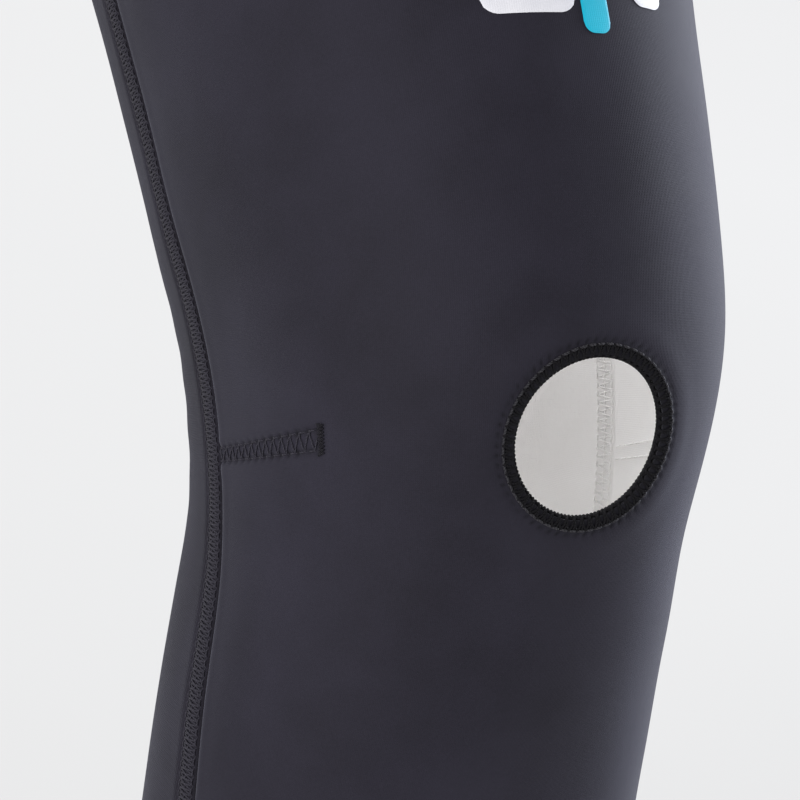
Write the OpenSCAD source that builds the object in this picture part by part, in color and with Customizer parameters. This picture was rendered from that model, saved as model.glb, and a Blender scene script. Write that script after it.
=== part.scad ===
// Open-patella knee sleeve, sewn with a bend at the knee from a front panel and a back panel.
// +Z runs up the calf, the front of the knee faces -Y, and the sleeve stands on its bottom hem at z = 0.
// A place on the sleeve is given by an angle round the leg from the front centre, a length along the
// centreline from the bottom hem, and a depth from the outer surface, positive outwards.

/* [Leg shape] */
// Length along the centreline between two neighbouring stations
station_gap = 36; // [34:0.5:40]
// Half width at each station, from the bottom hem to the top hem
half_widths = [54, 54.5, 54, 52.5, 54.5, 58, 60.5, 64, 69]; // [45:0.5:80]
// Depth from the centreline to the front at each station
front_depths = [51.5, 49.5, 50, 54.5, 64, 70, 71, 69, 66]; // [45:0.5:80]
// Depth from the centreline to the back at each station
back_depths = [49.5, 53, 56, 58.5, 60, 62.5, 66, 70, 73]; // [45:0.5:80]
// Angle from the front centre to the side seam at each station
seam_angles = [76, 82, 88, 94, 98.5, 103, 105.5, 106.5, 107]; // [70:0.5:115]
// Roundness exponent of the cross-section, where 2 is an ellipse
roundness = 2.2; // [2:0.1:2.5]
// How far the kneecap pushes the front out
kneecap_rise = 2.2; // [0:0.1:3]
// How deep the front is hollow below the kneecap
kneecap_hollow = 1.2; // [0:0.1:2]

/* [Bend] */
// Bend sewn into the sleeve, between the calf and the thigh
knee_bend = 36; // [20:1:40]
// Length of centreline over which the sleeve bends
bend_length = 84; // [76:1:110]
// Distance of the knee's turning axis behind the centreline
axis_setback = 8; // [0:1:12]

/* [Wall] */
// Thickness of the outer knit
face_t = 0.6; // [0.4:0.1:0.8]
// Thickness of the foam core
foam_t = 3.4; // [2.5:0.1:5]
// Thickness of the lining knit
lining_t = 0.6; // [0.4:0.1:0.8]
// Thickness of the glue line between two layers
glue_t = 0.05; // [0.05:0.05:0.1]

/* [Patella opening] */
// Diameter of the finished opening over the kneecap
opening_d = 35.8; // [30:0.1:40]
// Distance of the opening's centre below the middle of the bend
opening_drop = 5; // [0:0.5:8]
// Width of the thread cover around the opening
ring_w = 3; // [2:0.5:4]
// Thickness of the thread cover
ring_t = 0.8; // [0.5:0.1:1.2]

/* [Seams and darts] */
// Width of the flatlock stitching on a side seam, which lies behind the seam's groove
seam_w = 6.5; // [4:0.5:8]
// Thickness of a sewn thread layer
thread_t = 0.5; // [0.3:0.1:0.8]
// Length of each dart, from the side seam towards the front
dart_length = 37.5; // [20:0.5:40]
// Distance of the dart's seam end below the middle of the bend
dart_drop = 12; // [10:1:14]
// Rise of the dart towards the front
dart_rise = 6; // [0:1:8]
// Distance between the dart's two rows of stitches
dart_gap = 3.6; // [3:0.2:5]
// Width of one row of dart stitches
dart_row_w = 1.2; // [0.8:0.1:1.6]

/* [Hems] */
// Width of the binding on the top and bottom hems
binding_w = 12; // [8:1:16]
// Thickness of the binding tape
binding_t = 0.8; // [0.5:0.1:1.2]
// Width of the stitching line on each binding
hem_stitch_w = 2.4; // [1.5:0.1:3]

/* [Emblem and label] */
// Height of the emblem's lower edge above the middle of the bend
emblem_lift = 60; // [56:1:80]
// Height of the emblem
emblem_h = 32; // [20:1:40]
// Width of the emblem's left pale bar
left_bar_w = 23; // [14:1:26]
// Width of the emblem's middle blue bar
middle_bar_w = 7; // [4:0.5:9]
// Width of the emblem's right pale bar
right_bar_w = 10; // [6:1:12]
// Gap between the left bar and the middle bar
left_bar_gap = 1; // [1:0.5:3]
// Gap between the middle bar and the right bar
right_bar_gap = 8; // [2:0.5:8]
// Distance of the middle bar from the front centre
emblem_shift = 5.5; // [0:0.5:8]
// Thickness of the emblem's film
film_t = 0.2; // [0.1:0.05:0.3]
// Width of the care label inside the back of the bottom hem
label_w = 26; // [15:1:40]
// Height of the care label
label_h = 30; // [15:1:45]

/* [Hidden] */

last_station = len(half_widths) - 1;
sleeve_length = last_station * station_gap;
knee_s = sleeve_length / 2;
bend_start = knee_s - bend_length / 2;
bend_end = knee_s + bend_length / 2;
bend_radius = bend_length * 180 / (knee_bend * PI);
wall_t = face_t + foam_t + lining_t;

// The knee zone, which changes shape as the knee turns, reaches this far above and below the knee
knee_zone_front = 30;
knee_zone_side = 18;
knee_zone_back = 62;
// Clearance between neighbouring zones, and between the edges that a seam joins
zone_gap = 0.3;
butt_gap = 0.2;
// Clearance under the trim on the outside, and over it on the inside, where flat facets stand in
trim_gap = 0.25;
inner_trim_gap = 0.4;

// Facets round the front panel, round the back panel, and along each zone
front_columns = 20;
back_columns = 16;
calf_rows = 7;
knee_rows = 8;
thigh_rows = 8;

knit_colour = [0.19, 0.19, 0.22];
back_knit_colour = [0.17, 0.17, 0.20];
foam_colour = [0.10, 0.10, 0.11];
lining_colour = [0.72, 0.71, 0.70];
thread_colour = [0.12, 0.12, 0.14];

// ---- The leg's surface ----

function mix(a, b, t) = a + (b - a) * t;
function clamp(x, low, high) = min(max(x, low), high);

// Value of a station list at length s, on a smooth curve through the stations
function at_end(list, i) =
    i < 0 ? 2 * list[0] - list[1]
    : i > last_station ? 2 * list[last_station] - list[last_station - 1]
    : list[i];
function smooth_curve(p0, p1, p2, p3, t) =
    0.5 * (2 * p1 + (p2 - p0) * t + (2 * p0 - 5 * p1 + 4 * p2 - p3) * t * t
        + (3 * p1 - p0 - 3 * p2 + p3) * t * t * t);
function station(list, s) =
    let (i = clamp(floor(s / station_gap), 0, last_station - 1))
    smooth_curve(at_end(list, i - 1), list[i], list[i + 1], at_end(list, i + 2), s / station_gap - i);

// Tilt of the centreline at s, and its point [y, z]
function tilt(s) = knee_bend * clamp((s - bend_start) / bend_length, 0, 1);
function centre(s) =
    let (t = tilt(s), beyond = max(s - bend_end, 0), below = min(s, bend_start))
    [bend_radius * (1 - cos(t)) + beyond * sin(t), below + bend_radius * sin(t) + beyond * cos(t)];

// The knee turns about the line along X through this point [y, z]
knee_axis = centre(knee_s) + axis_setback * [cos(tilt(knee_s)), -sin(tilt(knee_s))];
echo(knee_axis = knee_axis);

function seam_angle(s) = station(seam_angles, s);

// The kneecap's middle, and the hollow's, as lengths above the knee, and how far each one spreads
kneecap_above = 10;
kneecap_spread = 18;
hollow_above = -24;
hollow_spread = 13;
// The kneecap has its full height where the angle from the front has a cosine above this
kneecap_cos = 0.75;
function bell(x, spread) = exp(-pow(x / spread, 2));
// 1 over the front, falling smoothly to 0 at the sides
function front_share(u) =
    let (t = min(max(cos(u), 0) / kneecap_cos, 1))
    t * t * (3 - 2 * t);
function kneecap(u, s) =
    front_share(u) * (kneecap_rise * bell(s - knee_s - kneecap_above, kneecap_spread)
        - kneecap_hollow * bell(s - knee_s - hollow_above, hollow_spread));

function leg_radius(u, s) =
    let (depth = cos(u) > 0 ? station(front_depths, s) : station(back_depths, s),
        width = station(half_widths, s))
    pow(pow(abs(cos(u)) / depth, roundness) + pow(abs(sin(u)) / width, roundness), -1 / roundness)
        + kneecap(u, s);
function leg_point(u, s, d) =
    let (r = leg_radius(u, s) + d, t = tilt(s), c = centre(s))
    [r * sin(u), c[0] - r * cos(u) * cos(t), c[1] + r * cos(u) * sin(t)];

// Angle round the leg that spans a given length of surface at u, s
function span_angle(length, u, s) = length * 180 / (PI * leg_radius(u, s));

// ---- Zones and panels ----

function knee_half_zone(u) =
    cos(u) > 0 ? mix(knee_zone_side, knee_zone_front, cos(u))
    : mix(knee_zone_side, knee_zone_back, -cos(u));
function zone_rows(zone) = zone == "calf" ? calf_rows : zone == "knee" ? knee_rows : thigh_rows;

// Length along the leg at fraction q of a zone, in the column that has angle u at the knee
function zone_s(zone, u, q, end) =
    let (half = knee_half_zone(u), trim = zone_gap / 2)
    zone == "calf" ? mix(end, knee_s - half - trim, q)
    : zone == "knee" ? mix(knee_s - half + trim, knee_s + half - trim, q)
    : mix(knee_s + half + trim, sleeve_length - end, q);

// Angle at fraction p, from -1 to 1, across a panel whose edges butt at the side seams
function panel_angle(panel, p, s) =
    panel == "front" ? p * seam_angle(s) : 180 + p * (180 - seam_angle(s));
function panel_columns(panel) = panel == "front" ? front_columns : back_columns;
function butt_fraction(panel, s) =
    let (half_span = panel == "front" ? seam_angle(s) : 180 - seam_angle(s))
    1 - span_angle(butt_gap / 2, seam_angle(s), s) / half_span;

// ---- Closed solids from grids of points ----

// A sheet: outer and inner are grids of the same size, indexed [column][row], and columns run
// anticlockwise seen from above
module sheet(outer, inner) {
    n = len(outer) - 1;
    m = len(outer[0]) - 1;
    count = (n + 1) * (m + 1);
    function o(i, j) = i * (m + 1) + j;
    function k(i, j) = count + i * (m + 1) + j;
    faces = [
        for (i = [0:n - 1], j = [0:m - 1]) each [
            [o(i, j), o(i + 1, j + 1), o(i + 1, j)],
            [o(i, j), o(i, j + 1), o(i + 1, j + 1)],
            [k(i, j), k(i + 1, j), k(i + 1, j + 1)],
            [k(i, j), k(i + 1, j + 1), k(i, j + 1)]
        ],
        for (i = [0:n - 1]) each [
            [o(i, 0), o(i + 1, 0), k(i + 1, 0)],
            [o(i, 0), k(i + 1, 0), k(i, 0)],
            [o(i, m), k(i, m), k(i + 1, m)],
            [o(i, m), k(i + 1, m), o(i + 1, m)]
        ],
        for (j = [0:m - 1]) each [
            [o(0, j), k(0, j), k(0, j + 1)],
            [o(0, j), k(0, j + 1), o(0, j + 1)],
            [o(n, j), k(n, j + 1), k(n, j)],
            [o(n, j), o(n, j + 1), k(n, j + 1)]
        ]
    ];
    polyhedron(points = concat([for (c = outer) each c], [for (c = inner) each c]), faces = faces);
}

// A closed loop swept through rings of points, each ring the same polygon
module loop(rings) {
    n = len(rings);
    m = len(rings[0]);
    function g(i, j) = (i % n) * m + (j % m);
    polyhedron(
        points = [for (ring = rings) each ring],
        faces = [
            for (i = [0:n - 1], j = [0:m - 1]) each [
                [g(i, j), g(i, j + 1), g(i + 1, j + 1)],
                [g(i, j), g(i + 1, j + 1), g(i + 1, j)]
            ]
        ]
    );
}

// ---- Panels ----

// The finished edges of the panels stop inside the bindings
panel_end = binding_t + 0.4;
face_depth = [0, -face_t];
foam_depth = [-face_t - glue_t, -face_t - foam_t + glue_t];
lining_depth = [-face_t - foam_t, -wall_t];

function panel_grid(panel, zone, d) =
    let (n = panel_columns(panel), m = zone_rows(zone))
    [for (i = [0:n])
        let (p = mix(-1, 1, i / n), edge = i == 0 || i == n, u_knee = panel_angle(panel, p, knee_s))
        [for (j = [0:m])
            let (s = zone_s(zone, u_knee, j / m, panel_end), pull = edge ? butt_fraction(panel, s) : 1)
            leg_point(panel_angle(panel, p * pull, s), s, d)]];

module panel_layer(panel, zone, depths) {
    sheet(panel_grid(panel, zone, depths[0]), panel_grid(panel, zone, depths[1]));
}

// The opening's centre, and how far the line up across it leans backwards
opening_s = knee_s - opening_drop;
opening_r = opening_d / 2;
opening_centre = leg_point(0, opening_s, 0);
opening_along = leg_point(0, opening_s + opening_r, 0) - leg_point(0, opening_s - opening_r, 0);
opening_tilt = atan2(opening_along[1], opening_along[2]);
echo(opening_centre = opening_centre, opening_tilt = opening_tilt);

module opening_cutter(r) {
    translate(opening_centre) {
        rotate([90 - opening_tilt, 0, 0]) {
            cylinder(h = 60, r = r, center = true, $fn = 64);
        }
    }
}

module front_knee_layer(depths) {
    difference() {
        panel_layer("front", "knee", depths);
        opening_cutter(opening_r + ring_t);
    }
}

module front_face_calf() { color(knit_colour) panel_layer("front", "calf", face_depth); }
module front_face_knee() { color(knit_colour) front_knee_layer(face_depth); }
module front_face_thigh() { color(knit_colour) panel_layer("front", "thigh", face_depth); }
module front_foam_calf() { color(foam_colour) panel_layer("front", "calf", foam_depth); }
module front_foam_knee() { color(foam_colour) front_knee_layer(foam_depth); }
module front_foam_thigh() { color(foam_colour) panel_layer("front", "thigh", foam_depth); }
module front_lining_calf() { color(lining_colour) panel_layer("front", "calf", lining_depth); }
module front_lining_knee() { color(lining_colour) front_knee_layer(lining_depth); }
module front_lining_thigh() { color(lining_colour) panel_layer("front", "thigh", lining_depth); }
module back_face_calf() { color(back_knit_colour) panel_layer("back", "calf", face_depth); }
module back_face_knee() { color(back_knit_colour) panel_layer("back", "knee", face_depth); }
module back_face_thigh() { color(back_knit_colour) panel_layer("back", "thigh", face_depth); }
module back_foam_calf() { color(foam_colour) panel_layer("back", "calf", foam_depth); }
module back_foam_knee() { color(foam_colour) panel_layer("back", "knee", foam_depth); }
module back_foam_thigh() { color(foam_colour) panel_layer("back", "thigh", foam_depth); }
module back_lining_calf() { color(lining_colour) panel_layer("back", "calf", lining_depth); }
module back_lining_knee() { color(lining_colour) panel_layer("back", "knee", lining_depth); }
module back_lining_thigh() { color(lining_colour) panel_layer("back", "thigh", lining_depth); }

// ---- Trim that follows the surface ----

outer_trim = [trim_gap + thread_t, trim_gap];
inner_trim = [-wall_t - inner_trim_gap, -wall_t - inner_trim_gap - thread_t];

// A strip along a line of [u, s] points: width across it is measured round the leg (around = true)
// or along the leg (around = false)
function strip_grid(line, width, around, d, sections) =
    [for (i = [0:around ? sections : len(line) - 1])
        [for (j = [0:around ? len(line) - 1 : sections])
            let (q = line[around ? j : i], f = mix(-0.5, 0.5, (around ? i : j) / sections))
            around ? leg_point(q[0] + span_angle(f * width, q[0], q[1]), q[1], d)
            : leg_point(q[0], q[1] + f * width, d)]];

module strip(line, width, around, depths, sections = 2) {
    sheet(strip_grid(line, width, around, depths[0], sections),
        strip_grid(line, width, around, depths[1], sections));
}

// Side seams: side is -1 on the sleeve's left as seen from the front, and 1 on its right. The
// stitching covers the back panel's edge, from the seam's groove backwards
seam_end = binding_w + 1;
function seam_middle(s) = seam_angle(s) + span_angle(seam_w / 2, seam_angle(s), s);
module seam_thread(side, zone) {
    m = zone_rows(zone);
    line = [
        for (j = [0:m])
        let (s = zone_s(zone, seam_angle(knee_s), j / m, seam_end))
        [side * seam_middle(s), s]
    ];
    color(thread_colour) {
        strip(line, seam_w, true, outer_trim);
        strip(line, seam_w, true, inner_trim);
    }
}

module left_seam_calf() { seam_thread(-1, "calf"); }
module left_seam_knee() { seam_thread(-1, "knee"); }
module left_seam_thigh() { seam_thread(-1, "thigh"); }
module right_seam_calf() { seam_thread(1, "calf"); }
module right_seam_knee() { seam_thread(1, "knee"); }
module right_seam_thigh() { seam_thread(1, "thigh"); }

// A dart's line at fraction t from the seam to its closed end, moved by shift along the leg
dart_pieces = 5;
function dart_point(side, t, shift) =
    let (s0 = knee_s - dart_drop, start = 0.5,
        u0 = seam_angle(s0), along = mix(start, dart_length, t),
        s = s0 + dart_rise * along / dart_length + shift)
    [side * (u0 - span_angle(along, u0, s0)), s];
function dart_line(side, shift) =
    let (line = [for (i = [0:dart_pieces]) dart_point(side, i / dart_pieces, shift)])
    side < 0 ? line : [for (i = [dart_pieces:-1:0]) line[i]];

module dart_stitches(side) {
    color(thread_colour) {
        for (row = [-0.5, 0.5]) {
            strip(dart_line(side, row * dart_gap), dart_row_w, false, outer_trim, 1);
            strip(dart_line(side, row * dart_gap), dart_row_w, false, inner_trim, 1);
        }
    }
}
module left_dart_stitches() { dart_stitches(-1); }
module right_dart_stitches() { dart_stitches(1); }

// The tack closes the dart across both rows
tack_w = 1.8;
module dart_tack(side) {
    end = dart_point(side, 1, 0);
    lead = span_angle(tack_w / 2 + 0.4, end[0], end[1]);
    half_tack = dart_gap / 2 + dart_row_w;
    line = [for (f = [-1, 0, 1]) [end[0] - side * lead, end[1] + f * half_tack]];
    color(thread_colour) strip(line, tack_w, true, outer_trim);
}
module left_dart_tack() { dart_tack(-1); }
module right_dart_tack() { dart_tack(1); }

// ---- Opening's thread cover ----

// The point at depth d that lies x across and v up in the opening's own plane, found in a few steps
// from the opening's centre
opening_up = opening_along / norm(opening_along);
steps_to_place = 6;
function opening_point(x, v, d, u = 0, s = opening_s, steps = steps_to_place) =
    let (p = leg_point(u, s, d))
    steps == 0 ? p
    : let (along = leg_point(u, s + 1, d) - p)
    opening_point(x, v, d, u + span_angle(x - p[0], u, s) / cos(u),
        s + (v - (p - opening_centre) * opening_up) / (along * opening_up), steps - 1);

ring_pieces = 40;
module opening_thread_ring() {
    inner_lip = -wall_t - inner_trim_gap;
    edge_r = opening_r + ring_t - 0.15;
    // Section round the cut edge: [distance from the opening's centre, depth]
    section = [
        [opening_r, trim_gap + thread_t / 2], [opening_r + ring_t, trim_gap + thread_t],
        [opening_r + ring_w, trim_gap + thread_t], [opening_r + ring_w, trim_gap], [edge_r, trim_gap],
        [edge_r, inner_lip], [opening_r + ring_w, inner_lip],
        [opening_r + ring_w, inner_lip - thread_t], [opening_r, inner_lip - thread_t]
    ];
    rings = [
        for (i = [0:ring_pieces - 1])
        let (a = 360 * i / ring_pieces)
        [for (q = section) opening_point(q[0] * cos(a), q[0] * sin(a), q[1])]
    ];
    color(thread_colour) loop(rings);
}

// ---- Hems ----

// The columns of both panels, once round the leg
function hem_columns(s) = concat(
    [for (i = [0:front_columns - 1]) panel_angle("front", mix(-1, 1, i / front_columns), s)],
    [for (i = [0:back_columns - 1]) panel_angle("back", mix(-1, 1, i / back_columns), s)]
);
column_count = front_columns + back_columns;

// A band round the leg from a section of [distance from the hem's edge, depth]
module hem_band(section, top) {
    function hem_s(h) = top ? sleeve_length - h : h;
    ordered = top ? [for (i = [len(section) - 1:-1:0]) section[i]] : section;
    loop([
        for (i = [0:column_count - 1])
        [for (q = ordered) leg_point(hem_columns(hem_s(q[0]))[i], hem_s(q[0]), q[1])]
    ]);
}

binding_out = [trim_gap, trim_gap + binding_t];
binding_in = [-wall_t - inner_trim_gap, -wall_t - inner_trim_gap - binding_t];
binding_section = [
    [0, binding_in[1]], [0, binding_out[1]], [binding_w, binding_out[1]], [binding_w, binding_out[0]],
    [binding_t, binding_out[0]], [binding_t, binding_in[0]], [binding_w, binding_in[0]], [binding_w, binding_in[1]]
];
module bottom_binding() { color(back_knit_colour) hem_band(binding_section, false); }
module top_binding() { color(back_knit_colour) hem_band(binding_section, true); }

stitch_low = binding_w - 1.5 - hem_stitch_w;
stitch_high = binding_w - 1.5;
stitch_depth = [binding_out[1] + trim_gap / 2, binding_out[1] + trim_gap / 2 + thread_t / 2];
stitch_section = [
    [stitch_low, stitch_depth[0]], [stitch_low, stitch_depth[1]],
    [stitch_high, stitch_depth[1]], [stitch_high, stitch_depth[0]]
];
module bottom_hem_stitches() { color(thread_colour) hem_band(stitch_section, false); }
module top_hem_stitches() { color(thread_colour) hem_band(stitch_section, true); }

// ---- Emblem and label ----

// An upright bar with rounded ends, of heights low to high above the middle of the bend, centred x
// from the front centre
bar_columns = 6;
module film_bar(x, low, high, width) {
    corner = width / 2 * 0.6;
    function lift(f) = corner * (1 - sqrt(1 - pow(abs(f), 3)));
    function bar_grid(d) =
        [for (i = [0:bar_columns])
            let (f = mix(-0.99, 0.99, i / bar_columns), drop = lift(f))
            [for (t = [0, 0.5, 1])
                let (s = knee_s + mix(low + drop, high - drop, t))
                leg_point(span_angle(x + f * width / 2, 0, s), s, d)]];
    sheet(bar_grid(trim_gap + film_t), bar_grid(trim_gap));
}

emblem_top = emblem_lift + emblem_h;
pale_top = emblem_top - 3;
module emblem_pale_film() {
    left_x = emblem_shift - middle_bar_w / 2 - left_bar_gap - left_bar_w / 2;
    right_x = emblem_shift + middle_bar_w / 2 + right_bar_gap + right_bar_w / 2;
    color([0.88, 0.88, 0.90]) {
        film_bar(left_x, emblem_lift + 4.5, pale_top, left_bar_w);
        film_bar(right_x, emblem_lift + 7.5, pale_top, right_bar_w);
    }
}
module emblem_blue_film() {
    color([0.0, 0.70, 0.82]) film_bar(emblem_shift, emblem_lift, emblem_top, middle_bar_w);
}

// The label hangs inside the back, with its lower end caught under the binding's edge
module care_label() {
    low = binding_w + 0.6;
    line = [for (t = [0:0.25:1]) [180, mix(low, low + label_h, t)]];
    label_depth = -wall_t - inner_trim_gap;
    color([0.9, 0.9, 0.9]) strip(line, label_w, true, [label_depth, label_depth - 0.3], 4);
}

front_face_calf();
front_face_knee();
front_face_thigh();
front_foam_calf();
front_foam_knee();
front_foam_thigh();
front_lining_calf();
front_lining_knee();
front_lining_thigh();
back_face_calf();
back_face_knee();
back_face_thigh();
back_foam_calf();
back_foam_knee();
back_foam_thigh();
back_lining_calf();
back_lining_knee();
back_lining_thigh();
left_seam_calf();
left_seam_knee();
left_seam_thigh();
right_seam_calf();
right_seam_knee();
right_seam_thigh();
left_dart_stitches();
right_dart_stitches();
left_dart_tack();
right_dart_tack();
opening_thread_ring();
bottom_binding();
top_binding();
bottom_hem_stitches();
top_hem_stitches();
emblem_pale_film();
emblem_blue_film();
care_label();
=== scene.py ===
"""The looks of the knee sleeve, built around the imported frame.

A place on the sleeve is (u, s, d), as in the part's source: u is the angle round the leg from the front
centre, s the length along the centreline from the bottom hem, and d the depth from the outer surface,
positive outwards. Angles are in radians and lengths in metres.
"""

import math

import bpy
import numpy as np
from mathutils import Matrix, Vector


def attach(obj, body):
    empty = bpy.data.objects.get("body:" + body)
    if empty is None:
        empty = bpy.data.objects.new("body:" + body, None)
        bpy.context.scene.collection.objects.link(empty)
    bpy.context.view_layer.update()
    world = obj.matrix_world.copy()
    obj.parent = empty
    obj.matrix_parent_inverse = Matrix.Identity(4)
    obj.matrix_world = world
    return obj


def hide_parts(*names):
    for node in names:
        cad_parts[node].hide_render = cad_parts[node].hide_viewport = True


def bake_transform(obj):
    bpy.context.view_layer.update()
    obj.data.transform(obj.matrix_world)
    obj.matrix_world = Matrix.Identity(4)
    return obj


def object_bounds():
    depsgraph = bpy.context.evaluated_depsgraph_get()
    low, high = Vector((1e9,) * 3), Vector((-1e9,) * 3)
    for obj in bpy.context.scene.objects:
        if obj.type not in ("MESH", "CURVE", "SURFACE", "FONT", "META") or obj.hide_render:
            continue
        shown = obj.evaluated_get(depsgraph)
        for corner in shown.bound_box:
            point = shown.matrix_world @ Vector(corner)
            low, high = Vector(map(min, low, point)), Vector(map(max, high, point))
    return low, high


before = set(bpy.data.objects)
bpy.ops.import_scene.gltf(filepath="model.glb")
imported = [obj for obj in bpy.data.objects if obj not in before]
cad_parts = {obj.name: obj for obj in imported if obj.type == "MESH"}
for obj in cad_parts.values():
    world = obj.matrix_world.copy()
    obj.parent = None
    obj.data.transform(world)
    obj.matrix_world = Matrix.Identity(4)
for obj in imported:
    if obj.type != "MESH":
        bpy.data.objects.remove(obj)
cad_low, cad_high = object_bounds()

MM = 0.001
CALF = "calf_half"
THIGH = "thigh_half"

# ---- Sizes, as in the part's source ----

STATION_GAP = 36 * MM
HALF_WIDTHS = np.array([54, 54.5, 54, 52.5, 54.5, 58, 60.5, 64, 69]) * MM
FRONT_DEPTHS = np.array([51.5, 49.5, 50, 54.5, 64, 70, 71, 69, 66]) * MM
BACK_DEPTHS = np.array([49.5, 53, 56, 58.5, 60, 62.5, 66, 70, 73]) * MM
SEAM_ANGLES = np.radians([76, 82, 88, 94, 98.5, 103, 105.5, 106.5, 107])
ROUNDNESS = 2.2
KNEE_BEND = math.radians(36)
BEND_LENGTH = 84 * MM
LENGTH = STATION_GAP * (len(HALF_WIDTHS) - 1)
KNEE_S = LENGTH / 2
FACE_T = 0.6 * MM
FOAM_T = 3.4 * MM
LINING_T = 0.6 * MM
WALL_T = FACE_T + FOAM_T + LINING_T
GLUE_T = 0.05 * MM
OPENING_R = 35.8 / 2 * MM
OPENING_S = KNEE_S - 5 * MM
RING_T = 0.8 * MM
DART_LENGTH = 37.5 * MM
DART_DROP = 12 * MM
DART_RISE = 6 * MM
BINDING_W = 12 * MM
BINDING_T = 0.8 * MM
TRIM_GAP = 0.25 * MM
PANEL_END = BINDING_T + 0.4 * MM

# The kneecap's bulge and the hollow below it, and the cosine of the angle where both are at full height
KNEECAP_OUT = 2.2 * MM
KNEECAP_UP = 10 * MM
KNEECAP_REACH = 18 * MM
HOLLOW_IN = 1.2 * MM
HOLLOW_DOWN = 24 * MM
HOLLOW_REACH = 13 * MM
KNEECAP_COS = 0.75

bend_start = KNEE_S - BEND_LENGTH / 2
bend_end = KNEE_S + BEND_LENGTH / 2
bend_radius = BEND_LENGTH / KNEE_BEND


# ---- The leg's surface ----

def bell(x, width):
    return np.exp(-(x / width) ** 2)


def smooth(x, low, high):
    t = np.clip((x - low) / (high - low), 0, 1)
    return t * t * (3 - 2 * t)


def at_station(values, s):
    ends = np.concatenate([[2 * values[0] - values[1]], values, [2 * values[-1] - values[-2]]])
    i = np.clip(np.floor(s / STATION_GAP).astype(int), 0, len(values) - 2)
    t = s / STATION_GAP - i
    p0, p1, p2, p3 = (ends[i + k] for k in range(4))
    return 0.5 * (2 * p1 + (p2 - p0) * t + (2 * p0 - 5 * p1 + 4 * p2 - p3) * t ** 2
                  + (3 * p1 - p0 - 3 * p2 + p3) * t ** 3)


def kneecap(u, s):
    """How far the kneecap pushes the front out, less the hollow below it."""
    bulge = KNEECAP_OUT * bell(s - KNEE_S - KNEECAP_UP, KNEECAP_REACH)
    hollow = HOLLOW_IN * bell(s - KNEE_S + HOLLOW_DOWN, HOLLOW_REACH)
    return (bulge - hollow) * smooth(np.cos(u), 0.0, KNEECAP_COS)


def leg_radius(u, s):
    depth = np.where(np.cos(u) > 0, at_station(FRONT_DEPTHS, s), at_station(BACK_DEPTHS, s))
    width = at_station(HALF_WIDTHS, s)
    shape = (np.abs(np.cos(u)) / depth) ** ROUNDNESS + (np.abs(np.sin(u)) / width) ** ROUNDNESS
    return shape ** (-1 / ROUNDNESS) + kneecap(u, s)


def leg(u, s, d):
    """The point at (u, s, d), for numbers or arrays."""
    u, s, d = np.broadcast_arrays(np.asarray(u, float), np.asarray(s, float), np.asarray(d, float))
    r = leg_radius(u, s) + d
    tilt = KNEE_BEND * np.clip((s - bend_start) / BEND_LENGTH, 0, 1)
    beyond = np.maximum(s - bend_end, 0)
    centre_y = bend_radius * (1 - np.cos(tilt)) + beyond * np.sin(tilt)
    centre_z = np.minimum(s, bend_start) + bend_radius * np.sin(tilt) + beyond * np.cos(tilt)
    front = r * np.cos(u)
    return np.stack([r * np.sin(u), centre_y - front * np.cos(tilt), centre_z + front * np.sin(tilt)], -1)


def outwards(u, s):
    """Directions straight out of the sleeve, not of unit length."""
    return leg(u, s, MM) - leg(u, s, 0)


def seam_angle(s):
    return at_station(SEAM_ANGLES, s)


def is_front(u):
    return np.cos(u) > 0


def behind_seam(u, s):
    """Length of surface from the nearer side seam's groove backwards to u."""
    turn = np.abs((u + math.pi) % (2 * math.pi) - math.pi)
    return (turn - seam_angle(s)) * leg_radius(u, s)


opening_centre = leg(0, OPENING_S, 0)
opening_up = leg(0, OPENING_S + OPENING_R, 0) - leg(0, OPENING_S - OPENING_R, 0)
opening_up = opening_up / np.linalg.norm(opening_up)


def in_opening_plane(p):
    return p[..., 0], (p - opening_centre) @ opening_up


def from_opening(u, s):
    """Distance from the opening's centre in its plane, and 1 m for every place on the back."""
    x, v = in_opening_plane(leg(u, s, 0))
    return np.where(is_front(u), np.hypot(x, v), 1.0)


def place_near_opening(x, v, d):
    """The (u, s) whose point at depth d lies x across and v up in the opening's own plane."""
    u = x / leg_radius(0, OPENING_S)
    s = OPENING_S + v
    for _ in range(12):
        p = leg(u, s, d)
        px, pv = in_opening_plane(p)
        slope = (leg(u, s + MM, d) - p) @ opening_up / MM
        u = u + (x - px) / (leg_radius(u, s) * np.maximum(np.cos(u), 0.3))
        s = s + (v - pv) / slope
    return u, s


# ---- Stitches: where the needle goes through, and how the fabric gives there ----

SEAM_STITCH = 2.2 * MM
# The seam's three needle rows, as lengths of surface behind its groove
SEAM_ROWS = (1.0 * MM, 3.7 * MM, 6.4 * MM)

DART_STITCH = 2.7 * MM
DART_START = 0.6 * MM
# Half the gap between a dart's two rows at the seam, and what it gains at the closed end
DART_HALF_GAP = 1.45 * MM
DART_WIDENING = 0.4 * MM
TACK_STITCH = 1.5 * MM
dart_s = KNEE_S - DART_DROP
dart_u = seam_angle(dart_s)
dart_r = leg_radius(dart_u, dart_s)
dart_stitch_count = 13
dart_last = DART_START + dart_stitch_count * DART_STITCH

RING_STITCHES = 60
# The thread cover presses the cut edge together, by this much from outside and from inside
RIM_SINK = 0.45 * MM
RIM_RISE = 2.0 * MM
RING_NEEDLE_R = OPENING_R + 3.1 * MM
RING_HOLE_R = OPENING_R + 4.2 * MM


def dart_place(along, across):
    """(u, s) of a place on the left dart, along from the seam and across upwards."""
    return -(dart_u - along / dart_r), dart_s + DART_RISE * along / DART_LENGTH + across


def dart_coordinates(u, s):
    along = (dart_u - np.abs(u)) * dart_r
    return along, s - dart_s - DART_RISE * along / DART_LENGTH


def dart_half_gap(along):
    return DART_HALF_GAP + DART_WIDENING * np.clip(along / DART_LENGTH, 0, 1)


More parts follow.
